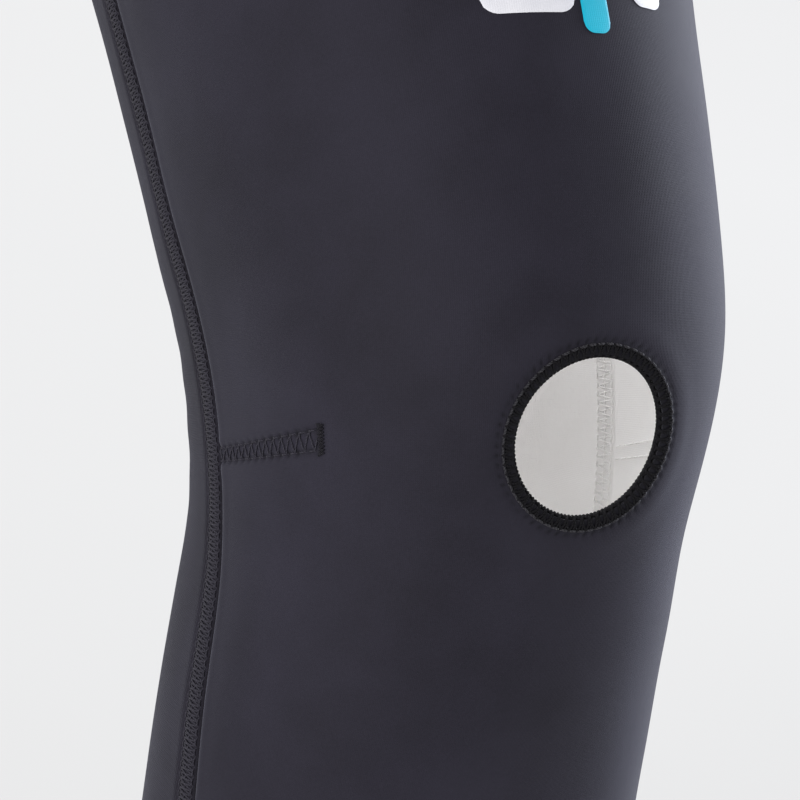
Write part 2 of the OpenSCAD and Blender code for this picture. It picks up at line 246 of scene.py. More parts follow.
def dart_holes(u, s, width):
    """1 at the middle of each needle hole of a dart's rows, its tack included, and 0 away from them."""
    along, across = dart_coordinates(u, s)
    k = np.clip(np.round((along - DART_START) / DART_STITCH), 0, dart_stitch_count)
    step = along - DART_START - k * DART_STITCH
    row = np.abs(across) - dart_half_gap(along)
    holes = bell(np.hypot(step, row), width) * (0.55 + 0.45 * k / dart_stitch_count)
    tack = np.zeros_like(along)
    for k_tack in (-1.5, -0.5, 0.5, 1.5):
        from_hole = np.hypot(along - dart_last - 0.9 * MM, across - k_tack * TACK_STITCH)
        tack = np.maximum(tack, bell(from_hole, width))
    return np.maximum(holes, tack)


def ring_holes(x, v, width):
    """1 at each needle hole round the opening, just outside the thread cover."""
    angle = np.arctan2(v, x)
    pitch = 2 * math.pi / RING_STITCHES
    off = (angle / pitch - np.round(angle / pitch)) * pitch * RING_HOLE_R
    return bell(np.hypot(off, np.hypot(x, v) - RING_HOLE_R), width)


def seam_holes(u, s, width):
    """1 at each needle hole of the seam's two outer rows."""
    a = behind_seam(u, s)
    off = s / SEAM_STITCH - np.round(s / SEAM_STITCH)
    near = np.minimum(np.abs(a - SEAM_ROWS[0]), np.abs(a - SEAM_ROWS[-1]))
    return bell(np.hypot(off * SEAM_STITCH, near), width)


def seam_give(u, s):
    """The seam's groove, the band that its stitches press down, and the fabric's swell on each side."""
    a = behind_seam(u, s)
    give = -1.15 * MM * bell(a, 0.8 * MM)
    give += 0.10 * MM * bell(a + 2.2 * MM, 1.5 * MM)
    give -= 0.20 * MM * smooth(a, 0.3 * MM, 1.2 * MM) * (1 - smooth(a, 6.2 * MM, 7.4 * MM))
    give -= 0.25 * MM * bell(a - 6.9 * MM, 0.7 * MM)
    give += 0.14 * MM * bell(a - 8.8 * MM, 1.6 * MM)
    return give


def dart_give(u, s):
    """A dart's two stitched rows, the fold between them, the swell beside them, and its end's dimple."""
    along, across = dart_coordinates(u, s)
    begins = smooth(along, -0.5 * MM, 1.5 * MM)
    on_dart = begins * (1 - smooth(along, dart_last + 1.0 * MM, dart_last + 4 * MM))
    row = np.abs(across) - dart_half_gap(along)
    give = -on_dart * 0.26 * MM * bell(row, 0.75 * MM)
    give -= on_dart * 0.18 * MM * bell(across, 0.5 * MM)
    give += on_dart * 0.16 * MM * bell(row - 2.2 * MM, 1.4 * MM)
    give -= 0.5 * MM * dart_holes(u, s, 0.65 * MM)
    give -= 0.5 * MM * bell(np.hypot(along - dart_last - 3 * MM, across), 5 * MM)
    return give


def opening_give(u, s):
    """The rim that the thread cover presses down, the swell outside it, and the needle holes."""
    rho = from_opening(u, s)
    x, v = in_opening_plane(leg(u, s, 0))
    give = -RIM_SINK * bell(np.maximum(rho - OPENING_R, 0), 2.2 * MM)
    give += 0.22 * MM * bell(rho - OPENING_R - 7.5 * MM, 2.6 * MM)
    give -= np.where(is_front(u), 0.4 * MM * ring_holes(x, v, 0.6 * MM), 0)
    return give


def hem_give(s):
    """What the tape presses down at both hems, and the wall's swell beside it."""
    give = np.zeros_like(s)
    for hem in (s, LENGTH - s):
        give -= 0.35 * MM * (1 - smooth(hem, BINDING_W - 0.5 * MM, BINDING_W + 1.5 * MM))
        give += 0.2 * MM * bell(hem - BINDING_W - 3.5 * MM, 2.5 * MM)
    return give


def slack(u, s):
    """The long shallow waves of a sleeve that isn't stretched."""
    long_waves = 0.13 * MM * np.sin(3 * u + 41 * s) * np.sin(62 * s + 1.3)
    return long_waves + 0.09 * MM * np.sin(7 * u - 55 * s + 0.6) * np.sin(95 * s + 2 * u)


def creases(u, s):
    """The creases behind the knee, from -1 to 1, fading out away from it."""
    fade = np.clip(-np.cos(u), 0, 1) ** 4 * bell(s - KNEE_S, 34 * MM)
    return fade * np.sin(2 * math.pi * (s / (15 * MM) + 0.25 * np.sin(2.1 * u)))


def outer_give(u, s):
    """How far the outer surface stands out of its smooth shape, in metres, negative where it is pulled in."""
    stitched = seam_give(u, s) + dart_give(u, s) + opening_give(u, s) + hem_give(s)
    return stitched + slack(u, s) + 0.7 * MM * creases(u, s)


def inner_give(u, s):
    """The same for the inner surface of the wall, positive towards the leg's middle."""
    a = behind_seam(u, s)
    give = -0.25 * MM * bell(a, 0.8 * MM)
    give -= 0.1 * MM * smooth(a, 0.3 * MM, 1.2 * MM) * (1 - smooth(a, 5.8 * MM, 7.0 * MM))
    give -= RIM_RISE * bell(np.maximum(from_opening(u, s) - OPENING_R, 0), 3.4 * MM)
    return give - 0.35 * MM * creases(u, s)


def in_wall(u, s, d):
    """The point at depth d within the wall, moved as the wall's two surfaces give."""
    share = np.clip(-d / WALL_T, 0, 1)
    return leg(u, s, d + (1 - share) * outer_give(u, s) - share * inner_give(u, s))


def over(u, s, lift):
    """The point lift above the outer surface."""
    return leg(u, s, outer_give(u, s) + lift)


def under(u, s, lift):
    """The point lift below the inner surface, towards the leg's middle."""
    return leg(u, s, -WALL_T - inner_give(u, s) - lift)


# ---- Meshes ----

def make_piece(name, points, faces, material, uv=None, hole=None, sharp=None):
    """A smooth mesh object. uv and hole, a painted shade mask, have a row for each point, and sharp marks
    points on hard edges.
    """
    mesh = bpy.data.meshes.new(name)
    faces = np.asarray(faces, int)
    mesh.vertices.add(len(points))
    mesh.vertices.foreach_set("co", np.asarray(points, np.float32).ravel())
    mesh.loops.add(faces.size)
    mesh.loops.foreach_set("vertex_index", faces.ravel().astype(np.int32))
    mesh.polygons.add(len(faces))
    mesh.polygons.foreach_set("loop_start", np.arange(0, faces.size, faces.shape[1], dtype=np.int32))
    mesh.polygons.foreach_set("loop_total", np.full(len(faces), faces.shape[1], np.int32))
    mesh.polygons.foreach_set("use_smooth", np.ones(len(faces), bool))
    mesh.update(calc_edges=True)
    if uv is not None:
        layer = mesh.uv_layers.new(name="UVMap")
        layer.data.foreach_set("uv", np.asarray(uv, np.float32)[faces.ravel()].ravel())
    # The hole attribute carries painted shade for the knit's colour
    if hole is not None:
        mesh.attributes.new("hole", "FLOAT", "POINT").data.foreach_set("value", np.asarray(hole, np.float32))
    if sharp is not None:
        ends = np.zeros(len(mesh.edges) * 2, np.int32)
        mesh.edges.foreach_get("vertices", ends)
        hard = sharp[ends.reshape(-1, 2)].all(1)
        mesh.attributes.new("sharp_edge", "BOOLEAN", "EDGE").data.foreach_set("value", hard)
    mesh.materials.append(material)
    piece = bpy.data.objects.new(name, mesh)
    bpy.context.scene.collection.objects.link(piece)
    return piece


def close_sheet(outer_points, inner_points, quads):
    """Points, faces and a mask of rim points of a closed wall between two surfaces with the same quads."""
    n = len(outer_points)
    quads = np.asarray(quads, int)
    edges = np.concatenate([quads[:, [k, (k + 1) % 4]] for k in range(4)])
    key = edges[:, 0] * n + edges[:, 1]
    back = edges[:, 1] * n + edges[:, 0]
    rim = edges[~np.isin(key, back)]
    walls = np.stack([rim[:, 1], rim[:, 0], rim[:, 0] + n, rim[:, 1] + n], 1)
    faces = np.concatenate([quads, quads[:, ::-1] + n, walls])
    on_rim = np.zeros(2 * n, bool)
    on_rim[rim.ravel()] = True
    on_rim[rim.ravel() + n] = True
    return np.concatenate([outer_points, inner_points]), faces, on_rim


def grid_quads(columns, rows, round_columns=False, round_rows=False):
    """Quads of a grid whose point (i, j) is number i * rows + j, joined up where it is round."""
    i, j = np.meshgrid(np.arange(columns - (not round_columns)), np.arange(rows - (not round_rows)),
                       indexing="ij")
    i, j = i.ravel(), j.ravel()
    right, above = (i + 1) % columns, (j + 1) % rows
    return np.stack([i * rows + j, right * rows + j, right * rows + above, i * rows + above], 1)


def turned_over(quads):
    """The same quads facing the other way."""
    return quads[:, [0, 3, 2, 1]]


def spread(low, high, step, fine=()):
    """Values from low to high about step apart, and closer within each fine (from, to, step)."""
    fixed = np.unique(np.clip([low, high] + [x for zone in fine for x in zone[:2]], low, high))
    values = [low]
    for a, b in zip(fixed[:-1], fixed[1:]):
        middle = (a + b) / 2
        here = min([step] + [zone[2] for zone in fine if zone[0] < middle < zone[1]])
        values.extend(np.linspace(a, b, max(2, round((b - a) / here) + 1))[1:])
    return np.array(values)


def tubes(name, paths, radii, material, flat=1.0):
    """Threads swept along paths of (points, outward directions). flat squeezes them towards the surface."""
    sides = 6
    points, faces, uvs = [], [], []
    start = 0
    turn = np.linspace(0, 2 * math.pi, sides, endpoint=False)
    for (path, out), radius in zip(paths, radii):
        along = np.gradient(path, axis=0)
        along /= np.linalg.norm(along, axis=1)[:, None]
        out = out - (out * along).sum(1)[:, None] * along
        out /= np.linalg.norm(out, axis=1)[:, None]
        across = np.cross(along, out)
        n = len(path)
        ring = (path[:, None, :] + radius * np.cos(turn)[None, :, None] * across[:, None, :]
                + radius * flat * np.sin(turn)[None, :, None] * out[:, None, :])
        length = np.concatenate([[0], np.cumsum(np.linalg.norm(np.diff(path, axis=0), axis=1))])
        points.append(ring.reshape(-1, 3))
        uvs.append(np.stack([np.broadcast_to(turn / (2 * math.pi), (n, sides)),
                             np.broadcast_to(length[:, None], (n, sides))], -1).reshape(-1, 2))
        i, j = np.meshgrid(np.arange(n - 1), np.arange(sides), indexing="ij")
        a, b = (i * sides + j).ravel(), (i * sides + (j + 1) % sides).ravel()
        faces.append(start + np.stack([a + sides, b + sides, b, a], 1))
        # Each end is closed by quads that share its middle point
        points.append(np.array([points[-1][:sides].mean(0), points[-1][-sides:].mean(0)]))
        uvs.append(np.array([[0, 0], [0, length[-1]]]))
        half = np.arange(0, sides, 2)
        middle = np.full(len(half), start + n * sides)
        end = start + (n - 1) * sides
        faces.append(np.stack([middle, start + half, start + half + 1, start + (half + 2) % sides], 1))
        faces.append(np.stack([middle + 1, end + (half + 2) % sides, end + half + 1, end + half], 1))
        start += n * sides + 2
    piece = make_piece(name, np.concatenate(points), np.concatenate(faces), material, uv=np.concatenate(uvs))
    return piece


def surface_path(place, u, s, lift):
    """A path on the sleeve and its outward directions. place is over or under."""
    return place(u, s, lift), outwards(u, s)


# ---- Node materials ----

class Shade:
    """A node material with a few short ways to add to it."""

    def __init__(self, name, roughness, **settings):
        self.material = bpy.data.materials.new(name)
        self.material.use_nodes = True
        self.nodes = self.material.node_tree.nodes
        self.links = self.material.node_tree.links
        self.shader = self.nodes["Principled BSDF"]
        self.shader.inputs["Roughness"].default_value = roughness
        for key, value in settings.items():
            self.shader.inputs[key.replace("_", " ")].default_value = value

    def put(self, value, socket):
        if isinstance(value, bpy.types.NodeSocket):
            self.links.new(value, socket)
        else:
            socket.default_value = value

    def math(self, operation, a, b=0.0, c=0.0):
        node = self.nodes.new("ShaderNodeMath")
        node.operation = operation
        for value, socket in zip((a, b, c), node.inputs):
            self.put(value, socket)
        return node.outputs[0]

    def ridges(self, value, pitch):
        """Rounded ridges from 0 to 1, pitch apart."""
        return self.math("ABSOLUTE", self.math("SINE", self.math("MULTIPLY", value, math.pi / pitch)))

    def weighed(self, a, share_a, b, share_b):
        return self.math("ADD", self.math("MULTIPLY", a, share_a), self.math("MULTIPLY", b, share_b))

    def position(self):
        return self.nodes.new("ShaderNodeTexCoord").outputs["Object"]

    def uv(self):
        node = self.nodes.new("ShaderNodeSeparateXYZ")
        self.links.new(self.nodes.new("ShaderNodeTexCoord").outputs["UV"], node.inputs[0])
        return node.outputs[0], node.outputs[1]

    def attribute(self, name):
        node = self.nodes.new("ShaderNodeAttribute")
        node.attribute_name = name
        return node.outputs["Fac"]

    def noise(self, scale, detail=3.0, roughness=0.55, vector=None):
        node = self.nodes.new("ShaderNodeTexNoise")
        node.inputs["Scale"].default_value = scale
        node.inputs["Detail"].default_value = detail
        node.inputs["Roughness"].default_value = roughness
        self.links.new(vector or self.position(), node.inputs["Vector"])
        return node.outputs["Fac"]

    def ramp(self, value, stops):
        node = self.nodes.new("ShaderNodeValToRGB")
        elements = node.color_ramp.elements
        while len(elements) < len(stops):
            elements.new(0.5)
        for element, (at, colour) in zip(elements, stops):
            element.position = at
            element.color = (*colour, 1)
        self.links.new(value, node.inputs[0])
        return node.outputs[0]

    def mix(self, share, a, b):
        node = self.nodes.new("ShaderNodeMix")
        node.data_type = "RGBA"
        self.put(share, node.inputs["Factor"])
        self.put(a if isinstance(a, bpy.types.NodeSocket) else (*a, 1), node.inputs["A"])
        self.put(b if isinstance(b, bpy.types.NodeSocket) else (*b, 1), node.inputs["B"])
        return node.outputs["Result"]

    def colour(self, value):
        self.links.new(value, self.shader.inputs["Base Color"])

    def roughness(self, value):
        self.links.new(value, self.shader.inputs["Roughness"])

    def bump(self, height, distance, strength=1.0):
        node = self.nodes.new("ShaderNodeBump")
        node.inputs["Strength"].default_value = strength
        node.inputs["Distance"].default_value = distance
        self.links.new(height, node.inputs["Height"])
        normal = self.shader.inputs["Normal"]
        if normal.is_linked:
            self.links.new(normal.links[0].from_socket, node.inputs["Normal"])
        self.links.new(node.outputs["Normal"], normal)

    def jersey(self, wale, course):
        """Height of plain knit from 0 to 1: columns of slanting loops, wale wide and course high."""
        x, y = self.uv()
        across = self.math("PINGPONG", self.math("DIVIDE", x, wale), 0.5)
        rows = self.math("ADD", self.math("DIVIDE", y, course), self.math("MULTIPLY", across, 1.3))
        loop = self.math("SINE", self.math("MULTIPLY", rows, 2 * math.pi))
        column = self.math("POWER", self.math("MULTIPLY", across, 2.0), 0.5)
        return self.math("MULTIPLY", column, self.math("MULTIPLY_ADD", loop, 0.3, 0.7))


def linear(r, g, b):
    """A colour given as 0 to 255 on screen, as the shader's own values."""
    values = [c / 255 for c in (r, g, b)]
    return tuple(c / 12.92 if c <= 0.04045 else ((c + 0.055) / 1.055) ** 2.4 for c in values)


def knit_material(name, low, high, wale, course, depth, roughness, sheen, painted_shade_colour, tint,
                  loop_shade_share=0.15, speck_share=0.3, specular=0.3):
    shade = Shade(name, roughness, Sheen_Weight=sheen, Sheen_Roughness=0.35, Sheen_Tint=(*tint, 1),
                  Specular_IOR_Level=specular)
    knit = shade.jersey(wale, course)
    cloud = shade.noise(28, 4)
    speck = shade.noise(1500, 2, 0.7)
    # The colour is lighter on the knit's loops and raised specks and darker between them, painted shade of
    # their relief, with random mottling from the cloud
    mottle_and_painted_shade = shade.math("MULTIPLY_ADD", knit, loop_shade_share, -loop_shade_share * 0.45)
    mottle_and_painted_shade = shade.math("ADD", mottle_and_painted_shade, cloud)
    mottle_and_painted_shade = shade.math("ADD", mottle_and_painted_shade, shade.math("MULTIPLY", shade.math("SUBTRACT", speck, 0.5), speck_share))
    colour = shade.ramp(mottle_and_painted_shade, [(0.25, low), (0.8, high)])
    # Painted shade: the hole mask mixes the painted shade colour into the knit at needle holes, along the
    # seam's groove and round the opening
    hole = shade.attribute("hole")
    shade.colour(shade.mix(hole, colour, painted_shade_colour))
    shade.roughness(shade.math("MULTIPLY_ADD", cloud, 0.16, roughness - 0.08))
    shade.bump(knit, depth)
    shade.bump(speck, depth * 0.5, 0.6)
    return shade.material


def thread_material(name, low, high, ply, roughness=0.6, sheen=0.25):
    """Twisted multifilament thread: its plies run round it as it goes along."""
    shade = Shade(name, roughness, Sheen_Weight=sheen, Sheen_Roughness=0.4, Specular_IOR_Level=0.15)
    turn, length = shade.uv()
    spiral = shade.math("ADD", shade.math("DIVIDE", length, ply), shade.math("MULTIPLY", turn, 2.0))
    strand = shade.ridges(spiral, 1)
    fuzz = shade.noise(2600, 2, 0.6)
    # The colour is lighter on the plies' crowns and the raised fuzz and darker in the grooves between them,
    # painted shade of the twist
    shade.colour(shade.ramp(shade.weighed(strand, 0.55, fuzz, 0.45), [(0.15, low), (0.85, high)]))
    shade.bump(strand, 0.06 * MM)
    shade.bump(fuzz, 0.03 * MM, 0.7)
    return shade.material


def foam_material():
    shade = Shade("foam", 0.9)
    pores = shade.noise(900, 4, 0.7)
    # Darker in the pores and lighter on the raised cell walls: painted shade in the foam's cells
    shade.colour(shade.ramp(pores, [(0.3, linear(20, 20, 22)), (0.75, linear(44, 44, 47))]))
    shade.bump(pores, 0.1 * MM)
    return shade.material


def tape_material():
    """Ribbed elastic tape: fine ribs along the leg, crossed by a shallow weave."""
    shade = Shade("binding", 0.8, Sheen_Weight=0.1, Sheen_Roughness=0.4, Specular_IOR_Level=0.2)
    x, y = shade.uv()
    weft = shade.math("MULTIPLY", shade.ridges(y, 0.45 * MM), 0.35)
    height = shade.math("ADD", shade.ridges(x, 0.9 * MM), weft)
    cloud = shade.noise(40, 4)
    # Lighter on the crowns of the ribs and weft and darker between them: painted shade of the weave, with
    # random mottling from the cloud
    mottle_and_painted_shade = shade.weighed(height, 0.45, cloud, 0.5)
    shade.colour(shade.ramp(mottle_and_painted_shade, [(0.3, linear(20, 19, 25)), (0.85, linear(38, 36, 45))]))
    shade.bump(height, 0.12 * MM)
    return shade.material


def film_material(name, low, high):
    """Heat-pressed film: slightly rubbery, with the knit's loops showing through it."""
    shade = Shade(name, 0.5, Specular_IOR_Level=0.4)
    knit = shade.jersey(0.5 * MM, 0.42 * MM)
    cloud = shade.noise(120, 4)
    # Lighter on the knit's loops under the film and darker between them: painted shade of their relief, with
    # random mottling from the cloud
    mottle_and_painted_shade = shade.weighed(knit, 0.25, cloud, 0.75)
    shade.colour(shade.ramp(mottle_and_painted_shade, [(0.25, low), (0.75, high)]))
    shade.roughness(shade.math("MULTIPLY_ADD", cloud, 0.25, 0.38))
    shade.bump(knit, 0.03 * MM)
    return shade.material


def label_material():
    """Blank satin label: a fine slanting weave."""
    shade = Shade("label", 0.42, Anisotropic=0.4)
    x, y = shade.uv()
    slant = shade.math("ADD", shade.math("DIVIDE", x, 0.3 * MM), shade.math("DIVIDE", y, 0.55 * MM))
    weave = shade.ridges(slant, 1)
    cloud = shade.noise(90, 3)
    # Lighter on the weave's ridges and darker between them: painted shade of the weave, with random mottling
    # from the cloud
    mottle_and_painted_shade = shade.weighed(weave, 0.4, cloud, 0.6)
    shade.colour(shade.ramp(mottle_and_painted_shade, [(0.25, linear(205, 203, 198)), (0.8, linear(238, 237, 233))]))
    shade.bump(weave, 0.03 * MM)
    return shade.material


SHEEN_TINT = (0.80, 0.82, 1.0)
# Near-black painted shade for the face's needle holes, seam groove and opening rim
PAINTED_SHADE_DARK = linear(5, 5, 7)
front_knit = knit_material("front_knit", linear(28, 26, 35), linear(42, 40, 51), 0.45 * MM, 0.38 * MM,
                           0.035 * MM, 0.72, 0.26, PAINTED_SHADE_DARK, SHEEN_TINT, specular=0.16)
back_knit = knit_material("back_knit", linear(28, 26, 33), linear(44, 42, 52), 0.80 * MM, 0.66 * MM,
                          0.12 * MM, 0.85, 0.10, PAINTED_SHADE_DARK, SHEEN_TINT, 0.35, 0.6, 0.15)
lining_knit = knit_material("lining_knit", linear(238, 236, 235), linear(248, 247, 246), 0.60 * MM, 0.50 * MM,
                            0.05 * MM, 0.85, 0.1, linear(225, 221, 218), (1, 1, 1), 0.15, 0.15)
foam = foam_material()
seam_thread = thread_material("seam_thread", linear(27, 26, 32), linear(58, 56, 66), 0.7 * MM, 0.8, 0.05)
tack_thread = thread_material("tack_thread", linear(10, 10, 13), linear(30, 28, 36), 0.7 * MM, 0.8, 0.05)
lining_thread = thread_material("lining_thread", linear(238, 236, 234), linear(250, 249, 248), 0.7 * MM)
ring_thread = thread_material("ring_thread", linear(6, 6, 7), linear(22, 21, 25), 0.6 * MM, 0.85, 0.0)
# The needle thread is paler than the cover thread: partly its own grey, partly a painted sheen
needle_thread = thread_material("needle_thread", linear(18, 17, 21), linear(56, 55, 60), 0.6 * MM, 0.6, 0.1)
binding_tape = tape_material()
pale_film = film_material("pale_film", linear(216, 216, 224), linear(232, 232, 238))
blue_film = film_material("blue_film", linear(0, 168, 200), linear(12, 192, 220))
label_tape = label_material()


# ---- Panels ----

# The grid gives way to rings of points within PATCH of the opening's centre. PATCH_RINGS are their
# distances from the opening's edge in millimetres, and the last lies PATCH_REACH of the way to the border.
PATCH = 31 * MM
PATCH_REACH = 0.9
PATCH_RINGS = [0, 0.35, 0.75, 1.2, 1.7, 2.2, 2.7, 3.2, 3.7, 4.2, 4.7, 5.2, 5.8, 6.6, 7.6, 8.8, 10.2]

# Gap between each panel's edge and the seam's line
EDGE_GAP = 0.02 * MM
LAYER_DEPTHS = {
    "face": (0, -FACE_T),
    "foam": (-FACE_T - GLUE_T, -FACE_T - FOAM_T + GLUE_T),
    "lining": (-FACE_T - FOAM_T, -WALL_T),
}


def panel_uv(u, s):
    return np.stack([u * leg_radius(0, KNEE_S), s], -1)


def panel_places(panel, columns, rows):
    """(u, s) grids of a panel. columns runs from -1 to 1 across it."""
    s = np.broadcast_to(rows, (len(columns), len(rows)))
    p = np.broadcast_to(columns[:, None], s.shape)
    seam = seam_angle(s)
    trim = EDGE_GAP / leg_radius(seam, s)
    if panel == "front":
        return p * (seam - trim), s
    return math.pi + p * (math.pi - seam - trim), s


def layer_points(panel, columns, rows, d):
    """Places and quads of one surface of a panel at depth d."""
    u, s = panel_places(panel, columns, rows)
    n, m = u.shape
    quads = grid_quads(n, m)
    if panel == "back":
        return u.ravel(), s.ravel(), quads
    at_opening = u[:, np.argmin(np.abs(rows - OPENING_S))]
    inside_columns = np.flatnonzero(np.abs(at_opening * leg_radius(0, OPENING_S)) < PATCH)
    inside_rows = np.flatnonzero(np.abs(rows - OPENING_S) < PATCH)
    i0, i1, j0, j1 = inside_columns[0], inside_columns[-1], inside_rows[0], inside_rows[-1]
    i, j = quads[:, 0] // m, quads[:, 0] % m
    quads = quads[~((i >= i0) & (i < i1) & (j >= j0) & (j < j1))]
    border = ([(a, j0) for a in range(i0, i1)] + [(i1, b) for b in range(j0, j1)]
              + [(a, j1) for a in range(i1, i0, -1)] + [(i0, b) for b in range(j1, j0, -1)])
    border = np.array([a * m + b for a, b in border])
    bu, bs = u.ravel()[border], s.ravel()[border]
    bx, bv = in_opening_plane(leg(bu, bs, d))
    own = np.unwrap(np.arctan2(bv, bx))
    count = len(border)
    even = own[0] + np.linspace(0, 2 * math.pi, count, endpoint=False)
    edge_r = OPENING_R + RING_T
    us, ss, grid = [u.ravel()], [s.ravel()], [border]
    start = n * m
    border_r = np.hypot(bx, bv)
    for out in PATCH_RINGS[::-1]:
        # Rings are round at the edge of the opening and square at the border
        share = out / PATCH_RINGS[-1] * PATCH_REACH
        square = smooth(share, 0.0, PATCH_REACH)
        mixed = even + (own - even) * smooth(share, 0.0, 1.0)
        radius = edge_r + (border_r - edge_r) * share * square + out * MM * (1 - square)
        ru, rs = place_near_opening(radius * np.cos(mixed), radius * np.sin(mixed), d)
        us.append(ru)
        ss.append(rs)
        grid.append(np.arange(start, start + count))
        start += count
    for outer, inner in zip(grid[:-1], grid[1:]):
        quads = np.concatenate([quads, np.stack([outer, np.roll(outer, -1), np.roll(inner, -1), inner], 1)])
    return np.concatenate(us), np.concatenate(ss), quads


def drop_unused(points_list, quads, extras):
    """The points, quads and extras of a sheet without the points that no quad uses."""
    used = np.zeros(len(points_list[0]), bool)
    used[quads.ravel()] = True
    new = np.cumsum(used) - 1
    return [p[used] for p in points_list], new[quads], [e[used] for e in extras]


def panel_columns(panel, step, fine):
    """Fractions -1 to 1 across a panel, step apart, and closer within each (reach from the seam, step)."""
    half_width = panel_half[panel]
    zones = [(half_width - reach, half_width, fine_step) for reach, fine_step in fine]
    half = spread(0, half_width, step, zones) / half_width
    return np.concatenate([-half[:0:-1], half])


def make_layer(panel, layer, row_step, column_step, fine_columns, fine_rows, material):
    """One layer of a panel, a closed wall between its two depths, in one piece from hem to hem."""
    top, bottom = LAYER_DEPTHS[layer]
    rows = spread(PANEL_END, LENGTH - PANEL_END, row_step, fine_rows)
    columns = panel_columns(panel, column_step, fine_columns)
    outer_u, outer_s, quads = layer_points(panel, columns, rows, top)
    inner_u, inner_s, _ = layer_points(panel, columns, rows, bottom)
    outer = in_wall(outer_u, outer_s, np.full_like(outer_u, top))
    inner = in_wall(inner_u, inner_s, np.full_like(inner_u, bottom))
    # hole is painted shade on the face: near-black in the needle holes, along the seam's groove and in a band
    # round the opening under its thread cover, fainter at the back panel's seam holes
    hole = np.zeros(len(outer))
    if layer == "face":
        hole = 0.95 * dart_holes(outer_u, outer_s, 0.62 * MM)
        # Painted shadow along the seam's groove
        hole = np.maximum(hole, 0.9 * bell(behind_seam(outer_u, outer_s), 0.5 * MM))
        if panel == "back":
            hole = np.maximum(hole, 0.4 * seam_holes(outer_u, outer_s, 0.45 * MM))
        else:
            x, v = in_opening_plane(outer)
            hole = np.maximum(hole, 0.7 * ring_holes(x, v, 0.5 * MM))
            # Painted shade round the opening's edge, under the thread cover
            hole = np.maximum(hole, 0.8 * bell(np.maximum(np.hypot(x, v) - OPENING_R, 0), 3.0 * MM))
    uv = panel_uv(outer_u, outer_s)
    (outer, inner), quads, (uv, hole) = drop_unused([outer, inner], quads, [uv, hole])
    points, faces, rim = close_sheet(outer, inner, quads)
    piece = make_piece(f"{panel}_{layer}", points, faces, material, np.concatenate([uv, uv]),
                       np.concatenate([hole, hole * 0]), rim)
    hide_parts(*(f"{panel}_{layer}_{zone}" for zone in ("calf", "knee", "thigh")))
    return piece


panel_half = {
    "front": seam_angle(KNEE_S) * leg_radius(seam_angle(KNEE_S) / 2, KNEE_S),
    "back": (math.pi - seam_angle(KNEE_S)) * leg_radius(math.pi, KNEE_S),
}
DART_ROWS = (KNEE_S - 17 * MM, KNEE_S - 1.5 * MM, 0.55 * MM)
EDGE_COLUMNS = (2 * MM, 0.5 * MM)
GROOVE_COLUMNS = (1.5 * MM, 0.25 * MM)

front_face = make_layer("front", "face", 1.5 * MM, 1.5 * MM, [(36 * MM, 0.6 * MM), GROOVE_COLUMNS],
                        [DART_ROWS], front_knit)
front_foam = make_layer("front", "foam", 3 * MM, 3 * MM, [EDGE_COLUMNS], [], foam)
front_lining = make_layer("front", "lining", 2 * MM, 2 * MM, [EDGE_COLUMNS], [], lining_knit)
back_face = make_layer("back", "face", 1.3 * MM, 1.6 * MM, [(9 * MM, 0.5 * MM), GROOVE_COLUMNS],
                       [], back_knit)
back_foam = make_layer("back", "foam", 3 * MM, 3 * MM, [EDGE_COLUMNS], [], foam)
back_lining = make_layer("back", "lining", 2 * MM, 2 * MM, [EDGE_COLUMNS], [], lining_knit)


# ---- Threads ----

THREAD_R = 0.2 * MM
# The seams' stitches run between the two hem tapes
SEAM_START = BINDING_W + 1.5 * MM
SEAM_STOP = LENGTH - BINDING_W - 1.5 * MM


def triangle(x):
    """0 to 1 and back, once for each whole x."""
    return 1 - np.abs(2 * (x - np.floor(x)) - 1)


def behind_groove(side, s, a):
    """The angle round the leg of a place a behind the seam's groove."""
    return side * (seam_angle(s) + a / leg_radius(seam_angle(s), s))


def zigzag(place, side, low, high, pitch, phase, lift):
    """A cover thread that crosses the seam's band to and fro."""
    turns = int((SEAM_STOP - SEAM_START) / pitch)
    t = np.linspace(0, turns, turns * 14 + 1)
    s = SEAM_START + t * pitch
    swing = triangle(t + phase)
    a = low + (high - low) * (0.5 - 0.5 * np.cos(math.pi * swing)) * 0.35 + (high - low) * swing * 0.65
    height = lift + 0.12 * MM * np.sin(math.pi * swing) - 0.2 * MM * np.cos(math.pi * swing) ** 8
    return surface_path(place, behind_groove(side, s, a), s, height)


def needle_row(place, side, a, pitch, lift):
    """Stitches along the seam, a behind its groove, that dip where the needle goes through."""
    first = math.ceil(SEAM_START / pitch) * pitch
    turns = int((SEAM_STOP - first) / pitch)
    t = np.linspace(0, turns, turns * 8 + 1)
    s = first + t * pitch
    dip = np.abs(np.cos(math.pi * t)) ** 6
    return surface_path(place, behind_groove(side, s, a), s, lift - 0.5 * MM * dip)


def side_seam(name, side):
    low, high = SEAM_ROWS[0], SEAM_ROWS[-1]
    outside = [zigzag(over, side, low, high, SEAM_STITCH, 0.0, 0.10 * MM),
               zigzag(over, side, low, high, SEAM_STITCH, 0.5, 0.16 * MM)]
    outside += [needle_row(over, side, a, SEAM_STITCH, 0.3 * MM) for a in SEAM_ROWS]
    radii = [THREAD_R * 1.15] * 2 + [THREAD_R] * 3
    cover = tubes(f"{name}_seam_thread", outside, radii, seam_thread, flat=0.8)
    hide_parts(*(f"{name}_seam_{zone}" for zone in ("calf", "knee", "thigh")))
    inside = [zigzag(under, side, low, high, SEAM_STITCH, 0.25, 0.06 * MM)]
    inside += [needle_row(under, side, a, SEAM_STITCH, 0.2 * MM) for a in SEAM_ROWS]
    looper = tubes(f"{name}_seam_inner_thread", inside, [THREAD_R] * 4, lining_thread, flat=0.8)
    return [cover, looper]


def dart_path(place, side, along, across, lift):
    u, s = dart_place(along, across)
    return surface_path(place, -side * u, s, lift)


